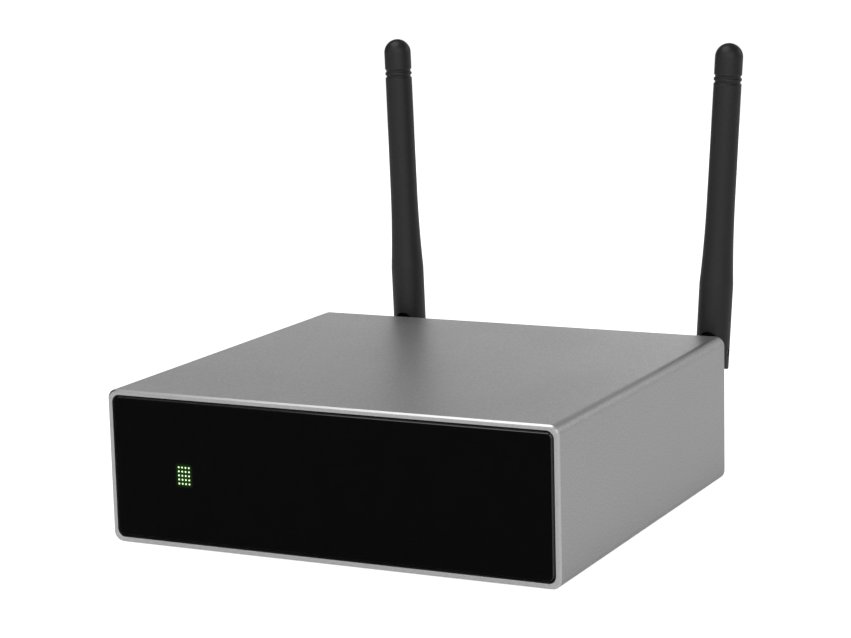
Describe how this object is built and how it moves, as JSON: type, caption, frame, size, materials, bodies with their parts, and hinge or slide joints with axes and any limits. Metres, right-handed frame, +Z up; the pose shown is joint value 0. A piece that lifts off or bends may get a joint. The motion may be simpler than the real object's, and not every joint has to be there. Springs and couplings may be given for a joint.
{
  "type": "streaming amplifier",
  "caption": "Compact streaming amplifier in an extruded aluminium sleeve with a black front window, folding rear antennas and speaker posts.",
  "frame": {"origin": "on the table, under the middle of the sleeve's width and of the whole depth", "axes": "+X to the right seen from the front, +Y to the rear, +Z up; the front window faces -Y"},
  "size_m": [0.1603, 0.1734, 0.1547],
  "materials": {
    "sleeve_aluminium": "bead-blasted and clear anodised",
    "window_gloss": "polished black",
    "foam_tape": "foam",
    "black_plastic": "fine moulded",
    "black_screw": "black oxide",
    "circuit_board": "solder mask",
    "green_lamp": "lit",
    "white_plastic": "satin",
    "chip_black": "matt",
    "black_aluminium": "black anodised",
    "capacitor_sleeve": "shrink sleeve",
    "tin_plate": "tin plated",
    "panel_paint": "fine black powder coat",
    "gold_brass": "gold plated",
    "red_lead": "soft insulation",
    "insert_plastic": "moulded",
    "lead_black": "soft insulation",
    "nut_black": "black nickel",
    "antenna_plastic": "fine moulded",
    "pin_steel": "bright",
    "red_knob": "moulded",
    "black_knob": "moulded",
    "foot_rubber": "matt"
  },
  "bodies": {
    "housing": {"sleeve": "sleeve_aluminium", "rubber_feet": "foot_rubber", "front_window": "window_gloss", "window_tape": "foam_tape", "front_frame": "black_plastic", "case_screws": "black_screw", "dot_mask": "black_plastic", "indicator_board": "circuit_board", "indicator_leds": "green_lamp", "remote_receiver": "black_plastic", "ribbon_sockets": "white_plastic", "ribbon_cable": "white_plastic", "main_board": "circuit_board", "amplifier_chips": "chip_black", "heat_sink": "black_aluminium", "filter_coils": "chip_black", "supply_capacitors": "capacitor_sleeve", "wireless_module": "circuit_board", "shield_can": "tin_plate", "rear_panel": "panel_paint", "post_bushings": "black_plastic", "post_studs": "gold_brass", "post_nuts": "gold_brass", "speaker_leads": "red_lead", "phono_block": "black_plastic", "phono_shells": "gold_brass", "phono_inserts": "insert_plastic", "optical_socket": "black_plastic", "network_socket": "black_plastic", "usb_socket": "tin_plate", "usb_tongue": "black_plastic", "power_inlet": "black_plastic", "inlet_pin": "tin_plate", "setup_switch": "black_plastic", "antenna_jacks": "gold_brass", "jack_nuts": "tin_plate", "antenna_cores": "gold_brass", "antenna_leads": "lead_black"},
    "shutter": {"optical_shutter": "black_plastic"},
    "button": {"setup_button": "black_plastic"},
    "left_nut": {"left_coupling_nut": "nut_black"},
    "left_swivel": {"left_swivel": "antenna_plastic"},
    "left_blade": {"left_blade": "antenna_plastic", "left_tip_cap": "antenna_plastic", "left_radiator": "gold_brass", "left_hinge_pin": "pin_steel"},
    "right_nut": {"right_coupling_nut": "nut_black"},
    "right_swivel": {"right_swivel": "antenna_plastic"},
    "right_blade": {"right_blade": "antenna_plastic", "right_tip_cap": "antenna_plastic", "right_radiator": "gold_brass", "right_hinge_pin": "pin_steel"},
    "left_positive_insert": {"left_positive_insert": "gold_brass"},
    "left_positive_knob": {"left_positive_knob": "red_knob"},
    "left_negative_insert": {"left_negative_insert": "gold_brass"},
    "left_negative_knob": {"left_negative_knob": "black_knob"},
    "right_positive_insert": {"right_positive_insert": "gold_brass"},
    "right_positive_knob": {"right_positive_knob": "red_knob"},
    "right_negative_insert": {"right_negative_insert": "gold_brass"},
    "right_negative_knob": {"right_negative_knob": "black_knob"}
  },
  "joints": [
    {"name": "left_nut_turn", "type": "hinge", "parent": "housing", "child": "left_nut", "pos_m": [-0.0525, 0.06717, 0.0442], "axis": [0, 1, 0], "continuous": true},
    {"name": "left_swivel_turn", "type": "hinge", "parent": "housing", "child": "left_swivel", "pos_m": [-0.0525, 0.07218, 0.0442], "axis": [0, 1, 0], "range_deg": [-88.7, 91.3]},
    {"name": "left_blade_fold", "type": "hinge", "parent": "left_swivel", "child": "left_blade", "pos_m": [-0.0525, 0.08067, 0.0442], "axis": [-0.9997, 0, -0.0227], "range_deg": [0, 90]},
    {"name": "right_nut_turn", "type": "hinge", "parent": "housing", "child": "right_nut", "pos_m": [0.0688, 0.06717, 0.0442], "axis": [0, 1, 0], "continuous": true},
    {"name": "right_swivel_turn", "type": "hinge", "parent": "housing", "child": "right_swivel", "pos_m": [0.0688, 0.07218, 0.0442], "axis": [0, 1, 0], "range_deg": [-93.55, 86.45]},
    {"name": "right_blade_fold", "type": "hinge", "parent": "right_swivel", "child": "right_blade", "pos_m": [0.0688, 0.08067, 0.0442], "axis": [-0.9981, 0, 0.0619], "range_deg": [0, 90]},
    {"name": "left_positive_travel", "type": "slide", "parent": "housing", "child": "left_positive_insert", "axis": [0, 1, 0], "range_m": [0, 0.003]},
    {"name": "left_positive_turn", "type": "hinge", "parent": "left_positive_insert", "child": "left_positive_knob", "pos_m": [-0.066, 0.07118, 0.0295], "axis": [0, 1, 0], "range_deg": [0, 1080]},
    {"name": "left_negative_travel", "type": "slide", "parent": "housing", "child": "left_negative_insert", "axis": [0, 1, 0], "range_m": [0, 0.003]},
    {"name": "left_negative_turn", "type": "hinge", "parent": "left_negative_insert", "child": "left_negative_knob", "pos_m": [-0.047, 0.07118, 0.0295], "axis": [0, 1, 0], "range_deg": [0, 1080]},
    {"name": "right_positive_travel", "type": "slide", "parent": "housing", "child": "right_positive_insert", "axis": [0, 1, 0], "range_m": [0, 0.003]},
    {"name": "right_positive_turn", "type": "hinge", "parent": "right_positive_insert", "child": "right_positive_knob", "pos_m": [-0.066, 0.07118, 0.015], "axis": [0, 1, 0], "range_deg": [0, 1080]},
    {"name": "right_negative_travel", "type": "slide", "parent": "housing", "child": "right_negative_insert", "axis": [0, 1, 0], "range_m": [0, 0.003]},
    {"name": "right_negative_turn", "type": "hinge", "parent": "right_negative_insert", "child": "right_negative_knob", "pos_m": [-0.047, 0.07118, 0.015], "axis": [0, 1, 0], "range_deg": [0, 1080]},
    {"name": "shutter_swing", "type": "hinge", "parent": "housing", "child": "shutter", "pos_m": [0.008, 0.05828, 0.0214], "axis": [-1, 0, 0], "range_deg": [0, 85], "stiffness_Nm_per_rad": 0.0006, "springref_deg": -17.19},
    {"name": "button_press", "type": "slide", "parent": "housing", "child": "button", "axis": [0, -1, 0], "range_m": [0, 0.0005], "stiffness_N_per_m": 500, "springref_m": -0.0005}
  ],
  "couplings": [
    {"joint": "left_positive_turn", "follows": "left_positive_travel", "rad_per_m": 6283.2},
    {"joint": "left_negative_turn", "follows": "left_negative_travel", "rad_per_m": 6283.2},
    {"joint": "right_positive_turn", "follows": "right_positive_travel", "rad_per_m": 6283.2},
    {"joint": "right_negative_turn", "follows": "right_negative_travel", "rad_per_m": 6283.2}
  ]
}
